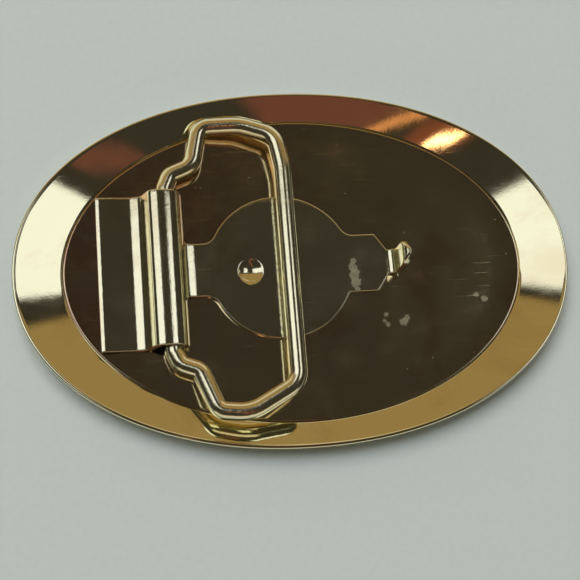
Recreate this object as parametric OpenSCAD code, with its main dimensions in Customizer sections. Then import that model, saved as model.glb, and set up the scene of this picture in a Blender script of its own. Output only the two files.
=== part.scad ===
// Oval plate belt buckle, lying on its front face with the fittings up.
// +X runs from the wire bail towards the hook, +Z points out of the back.
// The origin is the middle of the front face. All sizes are millimetres.

/* [Shell] */
// Overall length of the oval
shell_l = 95.2; // [80:0.1:115]
// Overall width of the oval
shell_w = 62.4; // [56:0.1:80]
// Fullness of the outline, where 2 is a true ellipse
shell_fullness = 2.1; // [2:0.05:2.6]
// Thickness of the shell's floor and rim
shell_t = 1; // [0.8:0.1:1.6]
// Width of the bevelled border at the ends
border_end = 8.1; // [5:0.1:10]
// Width of the bevelled border at the long sides
border_side = 4.7; // [3:0.1:5.5]
// Height that the bevelled border rises above the back plate
border_rise = 2.25; // [1:0.05:2.5]
// Width of the flat land round the top of the rim
rim_land = 0.4; // [0.2:0.1:1]

/* [Back plate] */
// Thickness of the back plate
back_t = 0.6; // [0.4:0.1:1]
// Gap round the back plate in its pocket
back_gap = 0.15; // [0.1:0.05:0.4]

/* [Hinge plate] */
// Thickness of the hinge plate's sheet
sheet_t = 1; // [0.8:0.1:1.2]
// Radius of the round pad
pad_r = 12.5; // [10:0.1:13.5]
// Place of the pad's centre along the buckle
pad_x = -2.9; // [-4:0.1:0]
// Width of the neck between the pad and the barrel
neck_w = 9.2; // [7:0.1:12]
// Width of the tab between the pad and the hook
tab_w = 10.1; // [8:0.1:12]
// Length of the tab, from the pad's centre to its chamfers
tab_l = 16.6; // [14.5:0.1:20]
// Radius of the inside corners of the outline
corner_r = 2.4; // [1:0.1:3]
// Radius of the weld dimple at the surface
dimple_r = 2.15; // [1:0.05:3]
// Depth of the weld dimple
dimple_depth = 0.65; // [0.3:0.05:0.7]
// Distance of the weld dimple from the pad's centre, towards the barrel
dimple_x = 5.3; // [3:0.1:8]
// Distance of the weld dimple from the buckle's middle line
dimple_y = 0.6; // [0:0.1:3]

/* [Barrel] */
// Distance from the buckle's middle to the barrel's axis
barrel_at = 22; // [20.5:0.1:24]
// Length of the barrel and its tail
barrel_l = 26.6; // [20:0.1:30]
// Radius of the bend between the barrel and the neck
foot_r = 1.2; // [0.8:0.1:1.6]
// Straight height of the barrel's wall above that bend
wall_h = 0.15; // [0.1:0.05:1]
// Radius of the sweep between the barrel and the tail
sweep_r = 3.8; // [3:0.1:5]
// Length of the flat tail
tail_l = 5.3; // [3:0.1:6.5]
// Angle at which the tail lifts off the back plate
tail_lift = 6; // [1:0.5:10]

/* [Hook] */
// Width of the hook
hook_w = 4.2; // [3:0.1:6]
// Height of the hook above the back plate
hook_h = 7.4; // [5.5:0.1:9]
// Distance from the tab's chamfers to the hook's face
hook_at = 3.25; // [3:0.05:5]
// Radius of the bend at the hook's root
root_r = 1.25; // [0.8:0.05:1.5]
// Radius inside the curl of the hook's tip
curl_r = 0.8; // [0.5:0.1:1.2]
// Angle through which the tip curls away from the bail
curl_angle = 50; // [20:1:70]
// Straight length past the curl
tip_l = 0.5; // [0.2:0.1:0.8]

/* [Bail] */
// Diameter of the bail's wire
wire_d = 3; // [2.4:0.1:3.6]
// Radial clearance of the wire in the barrel
wire_gap = 0.08; // [0.03:0.01:0.1]
// Reach from the barrel's axis to the middle of the straight bar
bail_reach = 20.2; // [18:0.05:25]
// Distance between the loop's two end runs, centre to centre
bail_w = 49.9; // [47:0.1:58]
// Lean of the straight bar out of line with the barrel
bar_lean = 0.4; // [0:0.1:4]
// Angle at which the bail lies above the back plate
bail_lift = 3.65; // [3:0.05:8]
// Gap between the two wire ends inside the barrel
wire_end_gap = 0.6; // [0.2:0.1:2]

/* [Hidden] */
$fn = 64;

bright_gold = [0.83, 0.72, 0.47];
dull_gold = [0.55, 0.46, 0.30];
sheet_gold = [0.72, 0.63, 0.43];
wire_gold = [0.90, 0.81, 0.56];

outline_points = 96;                     // corners of each oval outline
front_break = 0.2;                       // upright band between the front face and the bevel
front_inset = [1.5, 1];                  // front face inside the border's inner edge
edge_set = 0.25;                         // the foot's free edge outside the barrel's wall
exit_run = 0.7;                          // from the barrel's end to the wire's first corner
lap = 0.02;                              // a turned straight starts this far inside its bend
seam_gap = 0.01;                         // between the wire's straights and bends
seam_l = 0.1;                            // band over that gap
seam_rise = 0.02;                        // the band's height above the wire

wire_r = wire_d / 2;
bore_r = wire_r + wire_gap;
barrel_r = bore_r + sheet_t;
back_z = shell_t + back_t;               // top face of the back plate
rim_z = back_z + border_rise;
sheet_z = back_z + sheet_t;              // top face of the pad and its tabs
barrel_x = -barrel_at;
barrel_z = sheet_z + foot_r + wall_h;
foot_x = barrel_x + barrel_r + foot_r;   // axis of the foot's bend
foot_z = sheet_z + foot_r;
hook_x = pad_x + tab_l + hook_at;        // the hook's face that looks at the bail

inner_half = [shell_l / 2 - border_end, shell_w / 2 - border_side];
outer_half = [shell_l / 2, shell_w / 2];

// Oval outline whose fullness is the power n
function signed_power(v, p) = sign(v) * pow(abs(v), p);
function oval(half, n) = [for (i = [0:outline_points - 1])
    let (a = 360 * i / outline_points)
    [half.x * signed_power(cos(a), 2 / n), half.y * signed_power(sin(a), 2 / n)]];

// Points along an arc
function arc(c, r, a0, a1, steps = 16) =
    [for (i = [0:steps]) let (a = a0 + (a1 - a0) * i / steps) c + r * [cos(a), sin(a)]];

module oval_slab(half, n, z, h) {
    translate([0, 0, z]) linear_extrude(h) polygon(oval(half, n));
}

// Dished stamping: a flat oval front, and a bevelled border that rises to the rim
module front_shell() {
    pocket_half = inner_half + [back_gap, back_gap];
    mouth_half = outer_half - [rim_land, rim_land];
    color(bright_gold) difference() {
        hull() {
            oval_slab(inner_half - front_inset, 2, 0, front_break);
            oval_slab(outer_half, shell_fullness, rim_z - shell_t, shell_t);
        }
        hull() {
            oval_slab(pocket_half, 2, back_z, front_break / 10);
            oval_slab(mouth_half, shell_fullness, rim_z, front_break);
        }
        oval_slab(pocket_half, 2, shell_t, back_t + front_break / 10);
    }
}

// Flat oval sheet that lies in the shell's pocket
module back_plate() {
    color(dull_gold) oval_slab(inner_half, 2, shell_t, back_t);
}

// Sheet bent round an axis along Y through x and z, from angle a0 to a1 in the XZ plane
module bent_sheet(x, z, r, a0, a1, l) {
    translate([x, l / 2, z]) rotate([90, 0, 0])
        rotate_extrude(angle = a1 - a0, start = a0) translate([r, 0]) square([sheet_t, l]);
}

// Flat outline from the barrel's foot to the hook's root, measured from the pad's centre.
// Each inside corner is an arc that touches the round pad and the straight edge beside it.
function corner_angle(h, r) = asin((h + r) / (pad_r + r));
function corner_centre(h, r) = (pad_r + r) * [cos(corner_angle(h, r)), sin(corner_angle(h, r))];
function pad_points() = let (
    nh = neck_w / 2, th = tab_w / 2, hh = hook_w / 2, small_r = corner_r / 3,
    root = hook_x - root_r - pad_x, foot = foot_x - pad_x,
    na = corner_angle(nh, corner_r), nc = corner_centre(nh, corner_r),
    ta = corner_angle(th, corner_r), tc = corner_centre(th, corner_r),
    sa = corner_angle(th, small_r), sc = corner_centre(th, small_r))
    concat(
        [[tab_l, -th], [root, -hh], [root, hh], [tab_l, th]],
        arc(tc, corner_r, 270, 180 + ta),
        arc([0, 0], pad_r, ta, 180 - na, 48),
        arc([-nc.x, nc.y], corner_r, 360 - na, 270),
        [[foot, nh], [foot, -nh]],
        arc(-nc, corner_r, 90, na),
        arc([0, 0], pad_r, 180 + na, 360 - sa, 48),
        arc([sc.x, -sc.y], small_r, 180 - sa, 90));

// What is trimmed off the foot beside the neck, with a round corner where the neck begins
module foot_trim() {
    round_r = foot_r - edge_set;
    for (s = [-1, 1]) mirror([0, s < 0 ? 1 : 0])
        translate([foot_x - foot_r + edge_set, neck_w / 2]) {
            translate([round_r, 0]) square([sheet_t, barrel_l]);
            translate([0, round_r]) square([round_r + sheet_t, barrel_l]);
            translate([round_r, round_r]) circle(round_r);
        }
}

// Omega section over the wire, with the foot to the neck and the sweep down to the tail
module barrel() {
    sweep_angle = asin((sheet_z + sweep_r - barrel_z) / (barrel_r + sweep_r));
    sweep_x = barrel_x - (barrel_r + sweep_r) * cos(sweep_angle);
    sweep_z = sheet_z + sweep_r;
    bent_sheet(barrel_x, barrel_z, bore_r, 0, 180 - sweep_angle, barrel_l);
    bent_sheet(sweep_x, sweep_z, sweep_r, 270 - tail_lift, 360 - sweep_angle, barrel_l);
    translate([sweep_x, 0, sweep_z]) rotate([0, tail_lift, 0])
        translate([-tail_l, -barrel_l / 2, -sweep_r - sheet_t])
            cube([tail_l + lap, barrel_l, sheet_t]);
    translate([barrel_x + bore_r, -barrel_l / 2, foot_z]) cube([sheet_t, barrel_l, wall_h]);
    difference() {
        bent_sheet(foot_x, foot_z, foot_r, 180, 270, barrel_l);
        translate([0, 0, back_z - sheet_t]) linear_extrude(foot_r + 2 * sheet_t) foot_trim();
    }
}

// Tongue bent up from the tab, with a round end and a tip that curls away from the bail
module hook() {
    curl_x = hook_x + sheet_t + curl_r;
    curl_z = back_z + hook_h - (curl_r + sheet_t) * sin(curl_angle) - tip_l * cos(curl_angle);
    root_z = sheet_z + root_r;
    end_r = hook_w / 2;
    intersection() {
        union() {
            bent_sheet(hook_x - root_r, root_z, root_r, 270, 360, hook_w);
            translate([hook_x, -end_r, root_z]) cube([sheet_t, hook_w, curl_z - root_z]);
            bent_sheet(curl_x, curl_z, curl_r, 180 - curl_angle, 180, hook_w);
            translate([curl_x, 0, curl_z]) rotate([0, curl_angle, 0])
                translate([-curl_r - sheet_t, -end_r, -lap])
                    cube([sheet_t, hook_w, tip_l + lap]);
        }
        translate([hook_x - root_r - sheet_t, 0, back_z]) rotate([90, 0, 90])
            linear_extrude(root_r + curl_r + 4 * sheet_t + tip_l) {
                translate([-end_r, 0]) square([hook_w, hook_h - end_r]);
                translate([0, hook_h - end_r]) circle(end_r);
            }
    }
}

// One stamped sheet: barrel and tail, neck, round pad, tab and hook
module hinge_plate() {
    ball_r = (pow(dimple_r, 2) + pow(dimple_depth, 2)) / (2 * dimple_depth);
    color(sheet_gold) {
        difference() {
            translate([pad_x, 0, back_z]) linear_extrude(sheet_t) polygon(pad_points());
            translate([pad_x - dimple_x, -dimple_y, sheet_z + ball_r - dimple_depth])
                sphere(ball_r);
        }
        barrel();
        hook();
    }
}

// Corners of the wire's centre line in the bail's own plane, each with its inside bend radius:
// [away from the barrel, along the barrel, radius]
exit_y = barrel_l / 2 + exit_run;
end_y = bail_w / 2;
function bar_u(v) = bail_reach + v * tan(bar_lean);
bail_route = [
    [0, wire_end_gap / 2, 0],
    [0, exit_y, 0.5],
    [1.1, exit_y + 2.5, 0.5],
    [5, exit_y + 4, 1.5],
    [6.55, end_y, 0.7],
    [bail_reach - 6.7, end_y, 7.5],
    [bail_reach - 0.8, end_y - 2.15, 2.3],
    [bar_u(end_y - 7.95), end_y - 7.95, 10.5],
    [bar_u(4.35 - end_y), 4.35 - end_y, 1.9],
    [bail_reach - 8.3, -end_y, 5.5],
    [6.7, 0.7 - end_y, 0.5],
    [4.1, -exit_y - 3.5, 0.5],
    [1, -exit_y - 2.3, 0.5],
    [0, -exit_y, 0.3],
    [0, -wire_end_gap / 2, 0]];

// Round wire along a route: straight stretches, a bend at each corner between them, and a thin
// band over each seam where a straight and a bend stop just short of each other
module bent_wire(route) {
    last = len(route) - 1;
    spot = [for (p = route) [p.x, p.y]];
    way = [for (i = [0:last - 1]) (spot[i + 1] - spot[i]) / norm(spot[i + 1] - spot[i])];
    turn = [for (i = [0:last]) i == 0 || i == last ? 0 :
        atan2(cross(way[i - 1], way[i]), way[i - 1] * way[i])];
    cut = [for (i = [0:last]) (route[i].z + wire_r) * tan(abs(turn[i]) / 2)];
    for (i = [0:last - 1]) {
        from = spot[i] + way[i] * cut[i];
        l = norm(spot[i + 1] - spot[i]) - cut[i] - cut[i + 1];
        start = i == 0 ? 0 : seam_gap;
        end = i == last - 1 ? l : l - seam_gap;
        translate([from.x, from.y, 0]) rotate([0, 90, atan2(way[i].y, way[i].x)]) {
            translate([0, 0, start]) cylinder(h = end - start, r = wire_r);
            if (i > 0) seam_band();
            if (i < last - 1) translate([0, 0, l]) seam_band();
        }
        if (i > 0) {
            r = route[i].z + wire_r;
            side = sign(turn[i]) * [-way[i - 1].y, way[i - 1].x];
            c = spot[i] - way[i - 1] * cut[i] + side * r;
            a0 = atan2(-side.y, -side.x);
            translate([c.x, c.y, 0]) rotate([0, 0, min(a0, a0 + turn[i])])
                rotate_extrude(angle = abs(turn[i])) translate([r, 0]) circle(wire_r);
        }
    }
}

module seam_band() {
    translate([0, 0, -seam_l / 2]) cylinder(h = seam_l, r = wire_r + seam_rise);
}

// Wire loop that hangs in the barrel and carries the belt on its straight bar
module bail() {
    color(wire_gold) translate([barrel_x, 0, barrel_z]) rotate([0, -bail_lift, 0])
        bent_wire(bail_route, $fn = 40);
}

front_shell();
back_plate();
hinge_plate();
bail();
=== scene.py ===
import math
import bpy
import bmesh
import numpy as np
from mathutils import Matrix, Vector


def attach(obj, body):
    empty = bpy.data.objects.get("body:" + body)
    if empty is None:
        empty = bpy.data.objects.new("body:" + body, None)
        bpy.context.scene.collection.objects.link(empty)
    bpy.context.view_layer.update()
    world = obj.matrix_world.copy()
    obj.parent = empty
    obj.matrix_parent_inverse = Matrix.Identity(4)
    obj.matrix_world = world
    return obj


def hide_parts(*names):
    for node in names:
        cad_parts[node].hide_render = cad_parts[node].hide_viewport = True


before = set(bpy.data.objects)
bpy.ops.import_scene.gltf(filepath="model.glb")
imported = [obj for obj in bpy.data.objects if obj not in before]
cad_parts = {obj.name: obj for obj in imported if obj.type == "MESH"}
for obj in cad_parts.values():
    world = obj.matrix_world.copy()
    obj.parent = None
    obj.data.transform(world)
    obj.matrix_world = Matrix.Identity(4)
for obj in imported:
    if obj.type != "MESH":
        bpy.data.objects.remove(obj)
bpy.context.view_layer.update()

mm = 0.001
print("frame loaded:", ", ".join(sorted(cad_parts)))


class Value:
    # one number socket; arithmetic on it adds Math nodes
    def __init__(self, tree, socket):
        self.tree, self.socket = tree, socket

    def op(self, kind, *others, flip=False):
        args = [self, *others]
        if flip:
            args.reverse()
        return self.tree.add("ShaderNodeMath", {"operation": kind}, dict(enumerate(args)))

    def __add__(self, o): return self.op("ADD", o)
    def __radd__(self, o): return self.op("ADD", o)
    def __sub__(self, o): return self.op("SUBTRACT", o)
    def __rsub__(self, o): return self.op("SUBTRACT", o, flip=True)
    def __mul__(self, o): return self.op("MULTIPLY", o)
    def __rmul__(self, o): return self.op("MULTIPLY", o)


class Tree:
    # a node tree with one way to add a node
    def __init__(self, nodeTree):
        self.nodeTree = nodeTree

    def add(self, kind, settings=None, sockets=None, out=0):
        node = self.nodeTree.nodes.new(kind)
        for key, value in (settings or {}).items():
            setattr(node, key, value)
        for key, value in (sockets or {}).items():
            socket = node.inputs[key]
            if isinstance(value, Value):
                self.nodeTree.links.new(value.socket, socket)
            else:
                socket.default_value = value
        return Value(self, node.outputs[out]) if len(node.outputs) else None

    def mix(self, factor, a, b):
        return self.add("ShaderNodeMix", {"data_type": "RGBA"}, {0: factor, 6: a, 7: b}, out=2)

    def ramp(self, value, low, high):
        # 0 below low, 1 above high, smooth between
        return self.add("ShaderNodeMapRange", {"interpolation_type": "SMOOTHSTEP"},
                        {0: value, 1: low, 2: high, 3: 0.0, 4: 1.0})

    def noise(self, place, scale, detail, rough, warp=0.0):
        return self.add("ShaderNodeTexNoise", {"noise_dimensions": "3D"},
                        {"Vector": place, "Scale": scale, "Detail": detail,
                         "Roughness": rough, "Distortion": warp})


def rgb(r, g, b):
    return (r, g, b, 1.0)


def newMaterial(name):
    # a material with an empty node tree
    material = bpy.data.materials.new(name)
    material.use_nodes = True
    material.node_tree.nodes.clear()
    return material, Tree(material.node_tree)


def gridQuads(shape, start=0, loopU=False, loopV=False):
    # quads between neighbours in a grid of points numbered from start; a looped side joins up
    index = start + np.arange(shape[0] * shape[1]).reshape(shape)
    if loopU:
        index = np.concatenate([index, index[:1]], axis=0)
    if loopV:
        index = np.concatenate([index, index[:, :1]], axis=1)
    quads = np.stack([index[:-1, :-1], index[1:, :-1], index[1:, 1:], index[:-1, 1:]], -1)
    return quads.reshape(-1, 4)


def gridObject(name, points, loopU=False, loopV=False, smoothAngle=30):
    # points[u, v] is a surface in millimetres
    quads = gridQuads(points.shape[:2], 0, loopU, loopV)
    return meshObject(name, points.reshape(-1, 3), quads, smoothAngle)


def meshObject(name, points, quads, smoothAngle):
    # points that coincide are merged, quads without area go, and every face turns outward
    mesh = bpy.data.meshes.new(name)
    mesh.from_pydata((points * mm).tolist(), [], quads.tolist())
    work = bmesh.new()
    work.from_mesh(mesh)
    bmesh.ops.remove_doubles(work, verts=work.verts, dist=1e-7)
    bmesh.ops.dissolve_degenerate(work, edges=work.edges, dist=1e-8)
    bmesh.ops.recalc_face_normals(work, faces=work.faces)
    work.to_mesh(mesh)
    work.free()
    mesh.shade_smooth()
    mesh.set_sharp_from_angle(angle=math.radians(smoothAngle))
    thing = bpy.data.objects.new(name, mesh)
    bpy.context.scene.collection.objects.link(thing)
    return thing


def arcPoints(cx, cy, r, a0, a1, n):
    # points at radius r round (cx, cy), from angle a0 to a1 in degrees
    a = np.radians(np.linspace(a0, a1, n))
    return np.stack([cx + r * np.cos(a), cy + r * np.sin(a)], -1)


def chain(*runs):
    # joins runs of points and drops a point that repeats the one before it
    points = np.concatenate(runs)
    step = np.linalg.norm(np.diff(points, axis=0), axis=1)
    return points[np.concatenate([[True], step > 1e-6])]


def line(p, q, n):
    return np.linspace(p, q, n)


def signedPower(v, p):
    return np.sign(v) * np.abs(v) ** p


def wayAlong(path):
    # distance travelled along the path at each of its points
    return np.concatenate([[0], np.cumsum(np.linalg.norm(np.diff(path, axis=0), axis=1))])


# sizes are in millimetres and angles in degrees
shell = {
    "half": (47.6, 31.2), "fullness": 2.1,     # half the outline's sizes; fullness 2 is an ellipse
    "border": (8.1, 4.7),                      # width of the bevel at the ends and the sides
    "floorTop": 1.0, "backTop": 1.6, "sideTop": 2.9, "rimTop": 3.85,
    "frontFlat": -0.12,                        # where the front face's flat ends
    "frontRound": (0.2, 0.3, 0.384),           # how far its shoulder goes across, in and up
    "rimRound": 0.28,
    "rimFlat": (0.42, 0.16, 0.07),             # start, width and fall of the rim's flat
    "bevelFoot": 0.06, "lip": 0.08,            # above and below the back plate's top
    "gap": 0.15,                               # seam round the back plate
    "turns": 640,
}


def ovalPoints(t, a, e):
    # inner ellipse at a = 0, outer oval at a = 1, shrunk to the centre at a = -1,
    # then moved out by e along the outline's own normal
    cosT, sinT = np.cos(t), np.sin(t)
    n = 2 / shell["fullness"]
    outer = np.stack([shell["half"][0] * signedPower(cosT, n),
                      shell["half"][1] * signedPower(sinT, n)], -1)
    innerHalf = np.array([shell["half"][0] - shell["border"][0],
                          shell["half"][1] - shell["border"][1]])
    inner = np.stack([innerHalf[0] * cosT, innerHalf[1] * sinT], -1)
    normal = np.stack([innerHalf[1] * cosT, innerHalf[0] * sinT], -1)
    normal /= np.linalg.norm(normal, axis=-1, keepdims=True)
    a = np.asarray(a)[..., None]
    spot = np.where(a >= 0, inner * (1 - a) + outer * a, inner * (1 + a))
    return spot + normal * np.asarray(e)[..., None] * np.clip(1 + a, 0, 1)


def turnSection(name, section, turns):
    # section rows are (a, e, z); each is carried round the oval
    t = np.linspace(0, 2 * np.pi, turns, endpoint=False)[:, None]
    xy = ovalPoints(t, section[None, :, 0], section[None, :, 1])
    z = np.broadcast_to(section[None, :, 2], xy.shape[:2])
    return gridObject(name, np.concatenate([xy, z[..., None]], -1), loopU=True)


def shellSection():
    # from the middle of the front face, out over the rim, down the bevel and into the pocket;
    # the shoulder rises by the square of the way across it, and the rim's edges are arcs
    s = shell
    r, side, rim, gap, flat = s["rimRound"], s["sideTop"], s["rimTop"], s["gap"], s["frontFlat"]
    across, inset, height = s["frontRound"]
    start, width, fall = s["rimFlat"]
    crest, foot, back = rim - fall, s["backTop"] + s["bevelFoot"], s["backTop"]
    front = [(a, 0.0, 0.0) for a in np.linspace(-1, flat, 24)]
    shoulder = [(flat + across * k, -inset * k, height * k * k) for k in np.linspace(0.1, 1, 12)]
    a1, e1, z1 = shoulder[-1]
    outside = [(a1 + (1 - a1) * k, e1 * (1 - k), z1 + (side - z1) * k)
               for k in np.linspace(0.1, 0.97, 12)]
    low = [(1.0, r * math.sin(q) - r, side + r - r * math.cos(q)) for q in np.linspace(0.2, 1.5, 6)]
    top = [(1.0, r * math.cos(q) - r, rim - r + r * math.sin(q)) for q in np.linspace(0, 1.5, 8)]
    ease = [(1.0, -start - width * k, rim - fall * k * k) for k in np.linspace(0, 1, 6)]
    slope = [(1 - k, -(start + width) * (1 - k) + gap * k, crest + (foot - crest) * k)
             for k in np.linspace(0.03, 0.985, 30)]
    lip = [(0.0, gap, z) for z in (back, back - s["lip"], s["floorTop"])]
    floor = [(a, gap, s["floorTop"]) for a in np.linspace(-0.02, -1, 10)]
    return np.array(front + shoulder + outside + low + top + ease + slope + lip + floor)


frontShell = turnSection("frontShell", shellSection(), shell["turns"])
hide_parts("front_shell")
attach(frontShell, "buckle")
print("front shell made")


backPlateSizes = {
    "edgeRound": 0.22,
    "curlWidth": 0.13, "curl": 0.2,            # share of the way in from the edge, and height
    "turns": 480,
}


def backPlateSection():
    # flat underneath, a rounded edge, and a top that curls up towards the edge by the square of
    # the way across the curl
    s = backPlateSizes
    r, wide, curl = s["edgeRound"], s["curlWidth"], s["curl"]
    bottom, top = shell["floorTop"], shell["backTop"]
    under = [(a, 0.0, bottom) for a in np.linspace(-1, -0.01, 8)]
    wall = [(0.0, 0.0, bottom + 0.02), (0.0, 0.0, bottom + 0.2)]
    edge = [(0.0, r * math.cos(q) - r, top + curl - r + r * math.sin(q))
            for q in np.linspace(0, 1.45, 8)]
    reach = np.concatenate([np.linspace(0.006, wide, 34), np.linspace(wide + 0.03, 1, 24)])
    near = np.clip(1 - reach / wide, 0, 1)
    return np.array(under + wall + edge + [(-d, -r, top + curl * n * n) for d, n in zip(reach, near)])


backPlate = turnSection("backPlate", backPlateSection(), backPlateSizes["turns"])
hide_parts("back_plate")
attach(backPlate, "buckle")
print("back plate made")


hinge = {
    "sheet": 1.0, "backTop": shell["backTop"],
    "padX": -2.9, "padR": 12.5, "neck": 9.2, "tab": 10.1, "tabEnd": 16.6, "corner": 2.4,
    "southCorner": 0.8,                        # the corner between pad and tab on the -Y side
    "dimple": (-8.2, -0.6), "dimpleR": 2.15, "dimpleDepth": 0.65,
    "barrelX": -22.0, "barrelLift": 1.35, "barrelLength": 26.6, "bore": 1.58,
    "tailX": -33.57, "tailLift": 6.0,
    "sweepBends": (3.3, 1.5), "crownBends": (1.5, 2.5), "easeTilt": 26.0, "rampTilt": 66.0,
    "crownX": -23.4, "crownTop": 5.6, "crownTurn": (94.0, 79.0),
    "heel": 1.09, "freeEdge": 0.25,            # bend at the foot, and the sheet's free edge on it
    "heelSlope": (19.0, 9.0), "heelRun": (1.15, 0.5),     # the neck rises to that bend
    "hookX": 16.95, "hookWidth": 4.2, "hookHeight": 7.4, "root": 1.25,
    "curl": 0.8, "curlAngle": 50.0, "tip": 0.5,
    "foldX": 9.35, "foldDepth": 0.008, "foldWidth": 0.3,
    "edgeRound": 0.19, "hookRound": 0.42,
    "hookStart": 0.6, "hookBlend": 1.2,        # heights over which the hook's rounding sets in
}
hinge["sheetTop"] = hinge["backTop"] + hinge["sheet"]
hinge["barrelR"] = hinge["bore"] + hinge["sheet"]
hinge["barrelZ"] = hinge["sheetTop"] + hinge["barrelLift"]


def heelShape():
    # centre of the foot's bend, the angle of the free edge on it, and the neck's rise up to it
    h = hinge
    r = h["heel"]
    steep, shallow = h["heelSlope"]
    angles = np.concatenate([np.linspace(steep, shallow, 12), np.linspace(shallow, 0, 8)[1:]])
    runs = np.concatenate([np.full(11, h["heelRun"][0] / 11), np.full(7, h["heelRun"][1] / 7)])
    middle = np.radians((angles[:-1] + angles[1:]) / 2)
    x = np.concatenate([[0], np.cumsum(runs * np.cos(middle))])
    z = np.concatenate([[0], np.cumsum(-runs * np.sin(middle))])
    z += h["sheetTop"] - z[-1]
    centreX = h["barrelX"] + h["barrelR"] + r
    centreZ = z[0] + r * math.cos(math.radians(steep))
    x += centreX - r * math.sin(math.radians(steep))
    freeEdge = 180 + math.degrees(math.acos((r - h["freeEdge"]) / r))
    return centreX, centreZ, freeEdge, np.stack([x, z], -1)


def barrelPath():
    # the sheet's upper side in the XZ plane, from the tail's edge to the foot's free edge: tail,
    # concave sweep that tightens, steep ramp, bend that eases, nearly flat crown, shoulder and
    # foot; the ramp is as long as the height that the bends leave over
    h = hinge
    west, east = h["crownTurn"]
    lift, tilt, ease = (math.radians(h[k]) for k in ("tailLift", "rampTilt", "easeTilt"))
    start = math.radians(west - 90)
    wide, tight = h["sweepBends"]
    close, loose = h["crownBends"]
    crown, wallX = h["crownTop"], h["barrelX"] + h["barrelR"]
    crownX = h["crownX"] + crown * math.sin(start)
    crownZ = h["barrelZ"] + h["barrelR"] - crown
    bendRise = (wide * (1 - math.cos(ease)) + (tight + close) * (math.cos(ease) - math.cos(tilt))
                + loose * (math.cos(start) - math.cos(ease)))
    bendRun = (wide * math.sin(ease) + (tight + close) * (math.sin(tilt) - math.sin(ease))
               + loose * (math.sin(ease) - math.sin(start)))
    rampRun = (crownZ + crown * math.cos(start) - h["sheetTop"] - bendRise) / math.tan(tilt)
    wideX, wideZ = h["crownX"] - rampRun - bendRun, h["sheetTop"] + wide
    tightX = wideX + (wide - tight) * math.sin(ease)
    tightZ = wideZ - (wide - tight) * math.cos(ease)
    looseX = crownX - (crown - loose) * math.sin(start)
    looseZ = crownZ + (crown - loose) * math.cos(start)
    closeX = looseX - (loose - close) * math.sin(ease)
    closeZ = looseZ + (loose - close) * math.cos(ease)
    tailEnd = np.array([wideX - wide * math.sin(lift), wideZ - wide * math.cos(lift)])
    tailStart = np.array([h["tailX"], tailEnd[1] + (tailEnd[0] - h["tailX"]) * math.tan(lift)])
    heelX, heelZ, freeEdge, rise = heelShape()
    # the shoulder is an arc stretched to fit between the crown and the foot's bend
    endX, endZ = arcPoints(crownX, crownZ, crown, east, east, 1)[0]
    arc = arcPoints(0, 0, 1, east, 0, 30)
    across, down = (arc[:, 0] - arc[0, 0]) / (1 - arc[0, 0]), arc[:, 1] / arc[0, 1]
    shoulder = np.stack([endX + across * (wallX - endX), heelZ + down * (endZ - heelZ)], -1)
    return chain(line(tailStart, tailEnd, 16),
                 arcPoints(wideX, wideZ, wide, 270 - h["tailLift"], 270 + h["easeTilt"], 18),
                 arcPoints(tightX, tightZ, tight, 270 + h["easeTilt"], 270 + h["rampTilt"], 14),
                 arcPoints(closeX, closeZ, close, 90 + h["rampTilt"], 90 + h["easeTilt"], 14),
                 arcPoints(looseX, looseZ, loose, 90 + h["easeTilt"], west, 12),
                 arcPoints(crownX, crownZ, crown, west, east, 14),
                 shoulder,
                 arcPoints(heelX, heelZ, h["heel"], 180, freeEdge, 8))


def padPath():
    # on from the foot's free edge: neck, pad and tab, then the bend up into the hook and its
    # curled tip; points are closer together at the dimple and at the fold
    h = hinge
    heelX, heelZ, freeEdge, rise = heelShape()
    top, hookX, root = h["sheetTop"], h["hookX"], h["root"]
    outer = h["curl"] + h["sheet"]
    turn = math.radians(h["curlAngle"])
    curlX = hookX + outer
    curlZ = h["backTop"] + h["hookHeight"] - outer * math.sin(turn) - h["tip"] * math.cos(turn)
    curlEnd = np.array([curlX - outer * math.cos(turn), curlZ + outer * math.sin(turn)])
    tipEnd = curlEnd + h["tip"] * np.array([math.sin(turn), math.cos(turn)])
    dimpleX, foldX = h["dimple"][0], h["foldX"]
    stops = (rise[-1, 0], dimpleX - 2.6, dimpleX + 2.6, foldX - 0.4, foldX + 0.4, hookX - root)
    flat = [line([a, top], [b, top], n) for a, b, n in zip(stops[:-1], stops[1:], (34, 44, 96, 17, 34))]
    return chain(arcPoints(heelX, heelZ, h["heel"], freeEdge, 270 - h["heelSlope"][0], 20),
                 rise, *flat,
                 arcPoints(hookX - root, top + root, root, 270, 360, 22),
                 line([hookX, top + root], [hookX, curlZ], 12),
                 arcPoints(curlX, curlZ, outer, 180, 180 - h["curlAngle"], 18),
                 line(curlEnd, tipEnd, 8))


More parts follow.
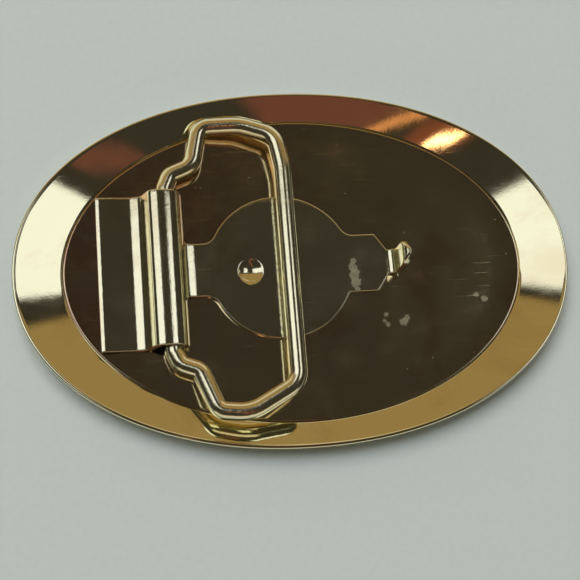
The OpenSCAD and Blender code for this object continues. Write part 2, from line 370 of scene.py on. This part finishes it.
def halfWidth(x, z, side):
    # half the sheet's width beyond the foot's free edge, on the +Y side (1) or the -Y side (-1):
    # neck, round pad, tab and chamfers are joined by arcs, and the hook's end is a half circle
    h = hinge
    neck, tab, hook, pad = h["neck"] / 2, h["tab"] / 2, h["hookWidth"] / 2, h["padR"]
    neckR, tabR = h["corner"], h["corner"] if side > 0 else h["southCorner"]
    neckTurn = math.asin((neck + neckR) / (pad + neckR))
    tabTurn = math.asin((tab + tabR) / (pad + tabR))
    neckX, padWest = -(pad + neckR) * math.cos(neckTurn), -pad * math.cos(neckTurn)
    tabX, padEast = (pad + tabR) * math.cos(tabTurn), pad * math.cos(tabTurn)
    rootX, tabEnd = h["hookX"] - h["root"] - h["padX"], h["tabEnd"]
    flare, flareX = h["heel"] - h["freeEdge"], h["barrelX"] + h["barrelR"] + h["heel"]
    east = x - h["padX"]
    over = z - (h["backTop"] + h["hookHeight"] - hook)

    def circle(r, d):
        return np.sqrt(np.maximum(r ** 2 - d ** 2, 0))

    width = np.where(x < flareX, neck + flare - circle(flare, x - flareX), neck)
    for begins, ends, here in (
            (neckX, padWest, neck + neckR - circle(neckR, east - neckX)),
            (padWest, padEast, circle(pad, east)),
            (padEast, tabX, tab + tabR - circle(tabR, east - tabX)),
            (tabX, tabEnd, tab),
            (tabEnd, rootX, tab + (hook - tab) * (east - tabEnd) / (rootX - tabEnd)),
            (rootX, np.inf, hook)):
        width = np.where((east >= begins) & (east < ends), here, width)
    return np.where((east >= rootX) & (over > 0), circle(hook, over * 0.985), width)


def acrossRows(half, slant, rounding):
    # places across the sheet at one station: even in the middle, finer where the edge rounds over
    band = np.minimum(rounding * slant, 0.6 * half)
    w = np.linspace(0, 1, 27)
    middle = (half - band)[:, None] * (0.55 * w + 0.45 * w ** 3)
    edge = half[:, None] - band[:, None] * np.array([0.8, 0.6, 0.42, 0.27, 0.15, 0.06, 0.0])
    return np.concatenate([middle, edge], 1)


def sheetBlocks(first, second, plus, minus, roll):
    # rows of points across the sheet's upper side: the middle of the barrel's part, the part
    # beyond the foot, and the barrel's part on either side of the neck
    ways = wayAlong(second)
    slants = [np.minimum(np.sqrt(1 + np.gradient(v, ways) ** 2), 3.0) for v in (plus, minus)]
    north, south = (acrossRows(v, slant, roll) for v, slant in zip((plus, minus), slants))
    y = np.concatenate([-south[:, :0:-1], north], 1)
    r, barrelHalf = hinge["edgeRound"], hinge["barrelLength"] / 2
    out = np.concatenate([line(y[0, -1], barrelHalf - r, 20),
                          barrelHalf - r * np.array([0.8, 0.6, 0.4, 0.2, 0.08, 0])])

    def rows(path, across):
        across = np.broadcast_to(across, (len(path), across.shape[-1]))
        x, z = (np.broadcast_to(path[:, i:i + 1], across.shape) for i in (0, 1))
        return np.stack([x, across, z], -1)

    return [rows(first, y[:1]), rows(second, y), rows(first, out[None]), rows(first, -out[None])]


def rollEdges(upper, first, second, plus, minus, roll):
    # the punched edge rolls over by a quarter circle: each upper point drops, square to the
    # sheet, by how near it is to the outline of the flattened sheet
    path = chain(first, second)
    ways = wayAlong(path)
    nearest = np.hypot(upper[:, None, 0] - path[None, :, 0],
                       upper[:, None, 2] - path[None, :, 1]).argmin(1)
    tangent = np.gradient(path, axis=0)
    tangent /= np.linalg.norm(tangent, axis=1, keepdims=True)
    flatSpots = np.stack([ways[nearest], upper[:, 1]], -1)
    edgeWays = ways[len(first) - 1:]
    half, foot = hinge["barrelLength"] / 2, edgeWays[0]
    outline = np.concatenate([[[0, half], [foot, half]], np.stack([edgeWays, plus], -1),
                              np.stack([edgeWays, -minus], -1)[::-1],
                              [[foot, -half], [0, -half], [0, half]]])
    away = np.full(len(upper), 9.0)     # farther than any rounding reaches
    for p, q in zip(outline[:-1], outline[1:]):
        edge = q - p
        size = edge @ edge
        if size > 1e-12:
            k = np.clip(((flatSpots - p) @ edge) / size, 0, 1)
            away = np.minimum(away, np.linalg.norm(flatSpots - p - k[:, None] * edge, axis=1))
    r = np.concatenate([np.full(len(path) - len(roll), hinge["edgeRound"]), roll])[nearest]
    drop = r - np.sqrt(np.maximum(r ** 2 - (r - np.minimum(away, r)) ** 2, 0))
    upper[:, 0] += drop * tangent[nearest, 1]
    upper[:, 2] -= drop * tangent[nearest, 0]


def pressMarks(upper):
    # weld dimple: a ball's cap pressed into the upper side, and a faint fold across the tab
    h = hinge
    far = np.hypot(upper[:, 0] - h["dimple"][0], upper[:, 1] - h["dimple"][1]) / h["dimpleR"]
    upper[:, 2] -= h["dimpleDepth"] * np.clip(1 - far ** 2, 0, None)
    onPad = upper[:, 2] < h["sheetTop"] + 0.05
    fold = h["foldDepth"] * np.exp(-((upper[:, 0] - h["foldX"]) / h["foldWidth"]) ** 2)
    upper[:, 2] -= np.where(onPad, fold, 0)


def makeHingePlate():
    # the upper side is made as a surface, gets its thickness, and then its edges and marks
    h = hinge
    first, second = barrelPath(), padPath()
    plus, minus = (halfWidth(second[:, 0], second[:, 1], side) for side in (1, -1))
    onHook = np.clip((second[:, 1] - h["sheetTop"] - h["hookStart"]) / h["hookBlend"], 0, 1)
    roll = h["edgeRound"] + (h["hookRound"] - h["edgeRound"]) * onHook * (second[:, 0] > 0)
    points, quads, start = [], [], 0
    for block in sheetBlocks(first, second, plus, minus, roll):
        quads.append(gridQuads(block.shape[:2], start))
        points.append(block.reshape(-1, 3))
        start += len(points[-1])
    plate = meshObject("hingePlate", np.concatenate(points), np.concatenate(quads), 40)
    # the sheet's upper side faces up at the pad
    mesh = plate.data
    flat = [p.normal.z for p in mesh.polygons if abs(p.center.x + 0.003) < 0.002 and p.center.z < 0.003]
    if sum(flat) < 0:
        mesh.flip_normals()
    upperCount = len(mesh.vertices)
    wall = plate.modifiers.new("sheet", "SOLIDIFY")
    wall.thickness, wall.offset, wall.use_even_offset = h["sheet"] * mm, -1.0, True
    solid = bpy.data.meshes.new_from_object(
        plate.evaluated_get(bpy.context.evaluated_depsgraph_get()))
    plate.modifiers.clear()
    plate.data = solid
    spots = np.empty(len(solid.vertices) * 3)
    solid.vertices.foreach_get("co", spots)
    spots = spots.reshape(-1, 3) / mm
    upper = spots[:upperCount]          # the thickness adds its points after these
    rollEdges(upper, first, second, plus, minus, roll)
    pressMarks(upper)
    solid.vertices.foreach_set("co", (spots * mm).ravel())
    solid.update()
    solid.shade_smooth()
    solid.set_sharp_from_angle(angle=math.radians(40))
    return plate


hingePlate = makeHingePlate()
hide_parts("hinge_plate")
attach(hingePlate, "buckle")
print("hinge plate made:", len(hingePlate.data.polygons), "faces")


bailSizes = {
    "wire": 3.0, "lift": 3.65, "reach": 20.2, "width": 49.9, "lean": 0.4,
    "exit": 0.7, "endGap": 0.6,
    "around": 56, "step": 0.16,                 # points round the wire, and spacing in the bends
    "endDome": ((0.0, 0.0), (0.9, 0.0), (0.98, 0.05), (1.0, 0.12)),   # share of the radius, way in
}


def bailRoute():
    # corners of the wire's centre line: away from the barrel, along the barrel, inside bend radius
    b = bailSizes
    exitY = hinge["barrelLength"] / 2 + b["exit"]
    endY, reach = b["width"] / 2, b["reach"]

    def barAt(y):
        return reach + y * math.tan(math.radians(b["lean"]))

    corners = np.array([
        (0, b["endGap"] / 2, 0), (0, exitY, 0.5), (1.1, exitY + 2.5, 0.5), (5, exitY + 4, 1.5),
        (6.55, endY, 0.7), (reach - 6.7, endY, 7.5), (reach - 0.8, endY - 2.15, 2.3),
        (barAt(endY - 7.95), endY - 7.95, 10.5), (barAt(4.35 - endY), 4.35 - endY, 1.9),
        (reach - 8.3, -endY, 5.5), (6.7, 0.7 - endY, 0.5), (4.1, -exitY - 3.5, 0.5),
        (1, -exitY - 2.3, 0.5), (0, -exitY, 0.3), (0, -b["endGap"] / 2, 0)])
    corners[:, 2] += b["wire"] / 2
    return corners


def roundedRoute(route, step):
    # straight runs with an arc at each corner, as evenly spaced points
    spots = route[:, :2]
    ways = np.diff(spots, axis=0)
    ways /= np.linalg.norm(ways, axis=1, keepdims=True)
    runs, here = [], spots[0]
    for i in range(1, len(spots) - 1):
        (inX, inY), (outX, outY), r = ways[i - 1], ways[i], route[i, 2]
        turn = math.atan2(inX * outY - inY * outX, ways[i - 1] @ ways[i])
        cut = r * math.tan(abs(turn) / 2)
        begins, ends = spots[i] - ways[i - 1] * cut, spots[i] + ways[i] * cut
        side = math.copysign(1, turn) * np.array([-inY, inX])
        middle = begins + side * r
        a0 = math.degrees(math.atan2(-side[1], -side[0]))
        runs.append(line(here, begins, max(2, int(np.linalg.norm(begins - here) / 0.8))))
        runs.append(arcPoints(middle[0], middle[1], r, a0, a0 + math.degrees(turn),
                              max(6, int(abs(turn) * r / step))))
        here = ends
    runs.append(line(here, spots[-1], 12))
    return chain(*runs)


def makeBail():
    # circle of the wire's radius carried along the centre line, square to it;
    # both ends close to a slightly domed face
    b = bailSizes
    path = roundedRoute(bailRoute(), b["step"])
    way = np.gradient(path, axis=0)
    way /= np.linalg.norm(way, axis=1, keepdims=True)
    side = np.stack([-way[:, 1], way[:, 0]], -1)
    a = np.linspace(0, 2 * np.pi, b["around"], endpoint=False)
    shrink, back = np.array(b["endDome"]).T
    n = len(back)
    centre = np.concatenate([path[0] + way[0] * back[:, None], path[1:-1],
                             (path[-1] - way[-1] * back[:, None])[::-1]])
    sides = np.concatenate([np.repeat(side[:1], n, 0), side[1:-1], np.repeat(side[-1:], n, 0)])
    radius = np.concatenate([shrink, np.ones(len(path) - 2), shrink[::-1]]) * b["wire"] / 2
    u, v = (centre[:, None, i] + sides[:, None, i] * np.cos(a) * radius[:, None] for i in (0, 1))
    w = np.sin(a) * radius[:, None]
    lift = math.radians(b["lift"])
    x = hinge["barrelX"] + u * math.cos(lift) - w * math.sin(lift)
    z = hinge["barrelZ"] + u * math.sin(lift) + w * math.cos(lift)
    return gridObject("bail", np.stack([x, v, z], -1), loopV=True, smoothAngle=50)


bail = makeBail()
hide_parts("bail")
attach(bail, "bail")
print("bail made:", len(bail.data.polygons), "faces")


# how strong each kind of wear is on a piece; stains are (x, y, radius) at the height "level"
finishes = {
    "gold": {
        "colour": (0.90, 0.865, 0.61), "worn": (0.78, 0.66, 0.42), "rough": 0.045, "smudge": 0.05,
        "peel": 0.3, "hairs": 0.3, "dust": 0.25, "ruddy": 0.0, "level": 1.6, "stains": ()},
    "plate": {
        "colour": (0.84, 0.74, 0.50), "worn": (0.72, 0.48, 0.33), "rough": 0.09, "smudge": 0.07,
        "peel": 0.5, "hairs": 1.0, "dust": 0.6, "ruddy": 0.8, "level": 1.6,
        "stains": ((14.6, -9.2, 0.45), (14.2, -10.2, 0.4), (14.8, -10.9, 0.4), (17.6, -10.5, 0.8),
                   (18.3, -9.9, 0.6), (31.0, -6.4, 0.5), (32.4, -7.3, 0.6))},
    "sheet": {
        "colour": (0.88, 0.85, 0.62), "worn": (0.74, 0.62, 0.42), "rough": 0.10, "smudge": 0.06,
        "peel": 2.2, "hairs": 1.0, "dust": 0.4, "ruddy": 0.0, "level": 2.6,
        "stains": ((9.6, 0.3, 0.6), (9.5, -0.8, 1.0), (9.6, -2.2, 1.1), (9.7, -3.6, 0.9),
                   (9.8, -4.6, 0.6))},
    "wire": {
        "colour": (0.90, 0.86, 0.62), "worn": (0.76, 0.66, 0.44), "rough": 0.15, "smudge": 0.08,
        "peel": 2.4, "hairs": 0.5, "dust": 0.2, "ruddy": 0.0, "level": 5.0, "stains": ()},
}

# shared by all finishes: noise is (scale per metre, detail, roughness), and a band is the value
# where a mark begins and the value where it is full
wear = {
    "tarnish": (70.0, 4.0, 0.6), "tarnishWarp": 0.6, "tarnishBand": (0.48, 0.72), "tarnishMost": 0.6,
    "ruddy": (110.0, 5.0, 0.6), "ruddyReach": 0.03, "ruddyNorth": 0.6, "ruddyBand": (0.012, 0.045),
    "mottle": (520.0, 4.0, 0.65), "mottleBand": (0.35, 0.75), "mottleMix": (0.45, 0.6),
    "smudge": (160.0, 5.0, 0.6), "smudgeBand": (0.45, 0.78),
    "smudgeGrain": (1900.0, 3.0, 0.7), "smudgeMix": (0.4, 1.2),     # least, and what grain adds
    "hairLayers": ((0.35, 3.0), (1.2, 11.0), (2.3, 23.0)),      # turn and shift
    "hairScale": (90.0, 9000.0, 90.0), "hairBand": (0.70, 0.76), "hairRough": 0.10,
    "peel": (2600.0, 2.0, 0.6), "peelHeight": 0.006,
    "swell": (500.0, 1.0, 0.4), "swellHeight": 0.006, "hairDepth": 0.001,
    "dustCells": 1100.0, "dustBand": (0.03, 0.09), "dustColour": (0.85, 0.82, 0.72),
    "dustPatches": (700.0, 2.0, 0.6), "dustPatchBand": (0.58, 0.68), "dustRough": 0.5,
    "stainEdge": (1100.0, 4.0, 0.7), "stainWobble": 2.2, "stainCore": 0.85,
    "stainColour": (0.26, 0.27, 0.17), "stainMix": 0.4, "stainRough": 0.15, "stainMetal": 0.12,
}


def metal(name, look):
    # polished plating: broad tarnish, smudges, orange peel, fine hair scratches along x,
    # specks of dust and a few dull stains
    w = wear
    material, tree = newMaterial(name)
    place = tree.add("ShaderNodeTexCoord", out=3)
    x, y = (tree.add("ShaderNodeSeparateXYZ", {}, {0: place}, out=i) for i in range(2))
    tarnish = tree.ramp(tree.noise(place, *w["tarnish"], w["tarnishWarp"]), *w["tarnishBand"])
    tarnish = tarnish * w["tarnishMost"]
    if look["ruddy"]:
        # the plate is redder towards its barrel end and its far side
        border = tree.noise(place, *w["ruddy"]) * w["ruddyReach"] - x + y * w["ruddyNorth"]
        mottle = tree.ramp(tree.noise(place, *w["mottle"]), *w["mottleBand"])
        least, added = w["mottleMix"]
        redder = tree.ramp(border, *w["ruddyBand"]) * look["ruddy"]
        tarnish = tarnish + redder * (least + mottle * added)
    tarnish = tree.add("ShaderNodeClamp", {}, {0: tarnish})
    colour = tree.mix(tarnish, rgb(*look["colour"]), rgb(*look["worn"]))
    least, added = w["smudgeMix"]
    smudge = (tree.ramp(tree.noise(place, *w["smudge"]), *w["smudgeBand"])
              * (least + tree.noise(place, *w["smudgeGrain"]) * added))
    hairs = None
    for turn, shift in w["hairLayers"]:
        along = tree.add("ShaderNodeMapping", {}, {
            "Vector": place, "Location": (shift, 0.0, 0.0), "Rotation": (0.0, 0.0, turn),
            "Scale": w["hairScale"]})
        hair = tree.ramp(tree.noise(along, 1.0, 2.0, 0.5), *w["hairBand"])
        hairs = hair if hairs is None else hairs + hair
    cells = tree.add("ShaderNodeTexVoronoi", {"feature": "F1"},
                     {"Vector": place, "Scale": w["dustCells"]})
    patches = tree.ramp(tree.noise(place, *w["dustPatches"]), *w["dustPatchBand"])
    dust = (1.0 - tree.ramp(cells, *w["dustBand"])) * patches * look["dust"]
    colour = tree.mix(dust, colour, rgb(*w["dustColour"]))
    rough = (look["rough"] + smudge * look["smudge"] + hairs * w["hairRough"] * look["hairs"]
             + dust * w["dustRough"])
    metallic = 1.0 - dust
    for east, north, size in look["stains"]:
        away = tree.add("ShaderNodeVectorMath", {"operation": "DISTANCE"},
                        {0: place, 1: (east * mm, north * mm, look["level"] * mm)}, out=1)
        wobble = (tree.noise(place, *w["stainEdge"]) - 0.5) * (w["stainWobble"] * size * mm)
        stain = 1.0 - tree.ramp(away + wobble, w["stainCore"] * size * mm, size * mm)
        colour = tree.mix(stain * w["stainMix"], colour, rgb(*w["stainColour"]))
        rough = rough + stain * w["stainRough"]
        metallic = metallic - stain * w["stainMetal"]
    height = (tree.noise(place, *w["peel"]) * (w["peelHeight"] * look["peel"])
              + tree.noise(place, *w["swell"]) * (w["swellHeight"] * look["peel"])
              - hairs * (w["hairDepth"] * look["hairs"]))
    bump = tree.add("ShaderNodeBump", {}, {"Strength": 1.0, "Distance": 0.001, "Height": height})
    shader = tree.add("ShaderNodeBsdfPrincipled", {}, {
        "Base Color": colour, "Metallic": metallic, "Roughness": rough, "Normal": bump})
    tree.add("ShaderNodeOutputMaterial", {}, {"Surface": shader})
    return material


for piece, finish in ((frontShell, "gold"), (backPlate, "plate"),
                      (hingePlate, "sheet"), (bail, "wire")):
    piece.data.materials.clear()
    piece.data.materials.append(metal(finish + "Finish", finishes[finish]))
print("finishes made")


floorSizes = {
    "half": 3000.0, "points": 9, "rough": 0.95, "shine": 0.1,
    "weave": (900.0, 3.0, 0.6), "shades": ((0.60, 0.68, 0.67), (0.66, 0.74, 0.73)),
}


def makeFloor():
    # a flat square with a faint weave between two pale shades
    s = floorSizes
    across = np.linspace(-s["half"], s["half"], s["points"])
    x, y = np.meshgrid(across, across, indexing="ij")
    floor = gridObject("floor", np.stack([x, y, np.zeros_like(x)], -1))
    if floor.data.polygons[0].normal.z < 0:
        floor.data.flip_normals()
    material, tree = newMaterial("paleCloth")
    place = tree.add("ShaderNodeTexCoord", out=3)
    shade = tree.mix(tree.noise(place, *s["weave"]), *(rgb(*c) for c in s["shades"]))
    shader = tree.add("ShaderNodeBsdfPrincipled", {}, {
        "Base Color": shade, "Roughness": s["rough"], "Specular IOR Level": s["shine"]})
    tree.add("ShaderNodeOutputMaterial", {}, {"Surface": shader})
    floor.data.materials.append(material)


makeFloor()


# what lies round the object, by the x (east) and y (north) of a unit direction: each panel is its
# four edges, the softness of those edges, and its colour; later panels cover earlier ones
room = {
    "base": (0.038, 0.033, 0.024),
    "panels": (
        (-1.2, 1.2, 0.42, 1.2, 0.015, (0.32, 0.215, 0.085)),
        (0.345, 0.388, -0.26, -0.12, 0.015, (0.15, 0.058, 0.04)),
        (0.008, 0.195, -0.75, -0.38, 0.015, (0.15, 0.055, 0.038)),
        (-0.012, 0.006, -0.50, -0.33, 0.004, (0.75, 0.30, 0.11)),
        (-0.075, -0.02, -0.34, -0.22, 0.02, (0.20, 0.06, 0.03)),
        (-0.068, -0.052, -0.29, -0.24, 0.008, (6.0, 3.4, 1.7)),
        (-0.76, -0.105, -0.02, 0.375, 0.02, (1.04, 1.05, 1.06)),
        (0.37, 0.64, -0.05, 0.335, 0.012, (1.04, 1.05, 1.06)),
    ),
    "horizon": (0.30, 0.50, (0.70, 0.60, 0.46)),   # height, how far north or south, and colour
    "horizonSoft": (0.15, 0.2),                    # softness upwards and sideways
}


def makeRoom():
    # the surroundings that the metal mirrors, painted on the world by direction
    world = bpy.data.worlds.new("room")
    bpy.context.scene.world = world
    world.use_nodes = True
    world.node_tree.nodes.clear()
    tree = Tree(world.node_tree)
    place = tree.add("ShaderNodeTexCoord", out=0)
    x, y, z = (tree.add("ShaderNodeSeparateXYZ", {}, {0: place}, out=i) for i in range(3))

    def window(v, low, high, soft):
        return tree.ramp(v, low - soft, low + soft) * (1.0 - tree.ramp(v, high - soft, high + soft))

    colour = rgb(*room["base"])
    for west, east, south, north, soft, shade in room["panels"]:
        inside = window(x, west, east, soft) * window(y, south, north, soft)
        colour = tree.mix(inside, colour, rgb(*shade))
    height, reach, pale = room["horizon"]
    up, along = room["horizonSoft"]
    north = tree.add("ShaderNodeMath", {"operation": "ABSOLUTE"}, {0: y})
    low = 1.0 - tree.ramp(z, height, height + up)
    colour = tree.mix(tree.ramp(north, reach, reach + along) * low, colour, rgb(*pale))
    sky = tree.add("ShaderNodeBackground", {}, {"Color": colour, "Strength": 1.0})
    tree.add("ShaderNodeOutputWorld", {}, {"Surface": sky})


makeRoom()


softbox = {
    "place": (-0.5, 0.9, 1.9), "size": 1.6, "power": 30.0,      # metres and watts
}


def makeLight():
    # a square lamp aimed at the origin, left out of reflections
    lamp = bpy.data.lights.new("overheadSoftbox", "AREA")
    lamp.shape, lamp.energy = "RECTANGLE", softbox["power"]
    lamp.size = lamp.size_y = softbox["size"]
    thing = bpy.data.objects.new("overheadSoftbox", lamp)
    thing.location = softbox["place"]
    thing.rotation_euler = (-Vector(softbox["place"])).to_track_quat("-Z", "Y").to_euler()
    thing.visible_glossy = False
    bpy.context.scene.collection.objects.link(thing)


makeLight()


camera = {
    "place": (-30.57, -51.75, 186.6),
    "turn": (14.649, -8.215, -3.869),           # axis whose length is the angle
    "lens": 70.48, "sensor": 36.0,
}


def makeCamera():
    # a lens turned about one axis, near enough overhead
    lens = bpy.data.cameras.new("camera")
    lens.lens, lens.sensor_width = camera["lens"], camera["sensor"]
    lens.clip_start, lens.clip_end = 0.01, 20.0
    thing = bpy.data.objects.new("camera", lens)
    turn = Vector(camera["turn"])
    matrix = Matrix.Rotation(math.radians(turn.length), 4, turn.normalized())
    matrix.translation = Vector(camera["place"]) * mm
    thing.matrix_world = matrix
    bpy.context.scene.collection.objects.link(thing)
    bpy.context.scene.camera = thing


makeCamera()
bpy.context.scene.view_settings.view_transform = "Standard"
print("stage made")
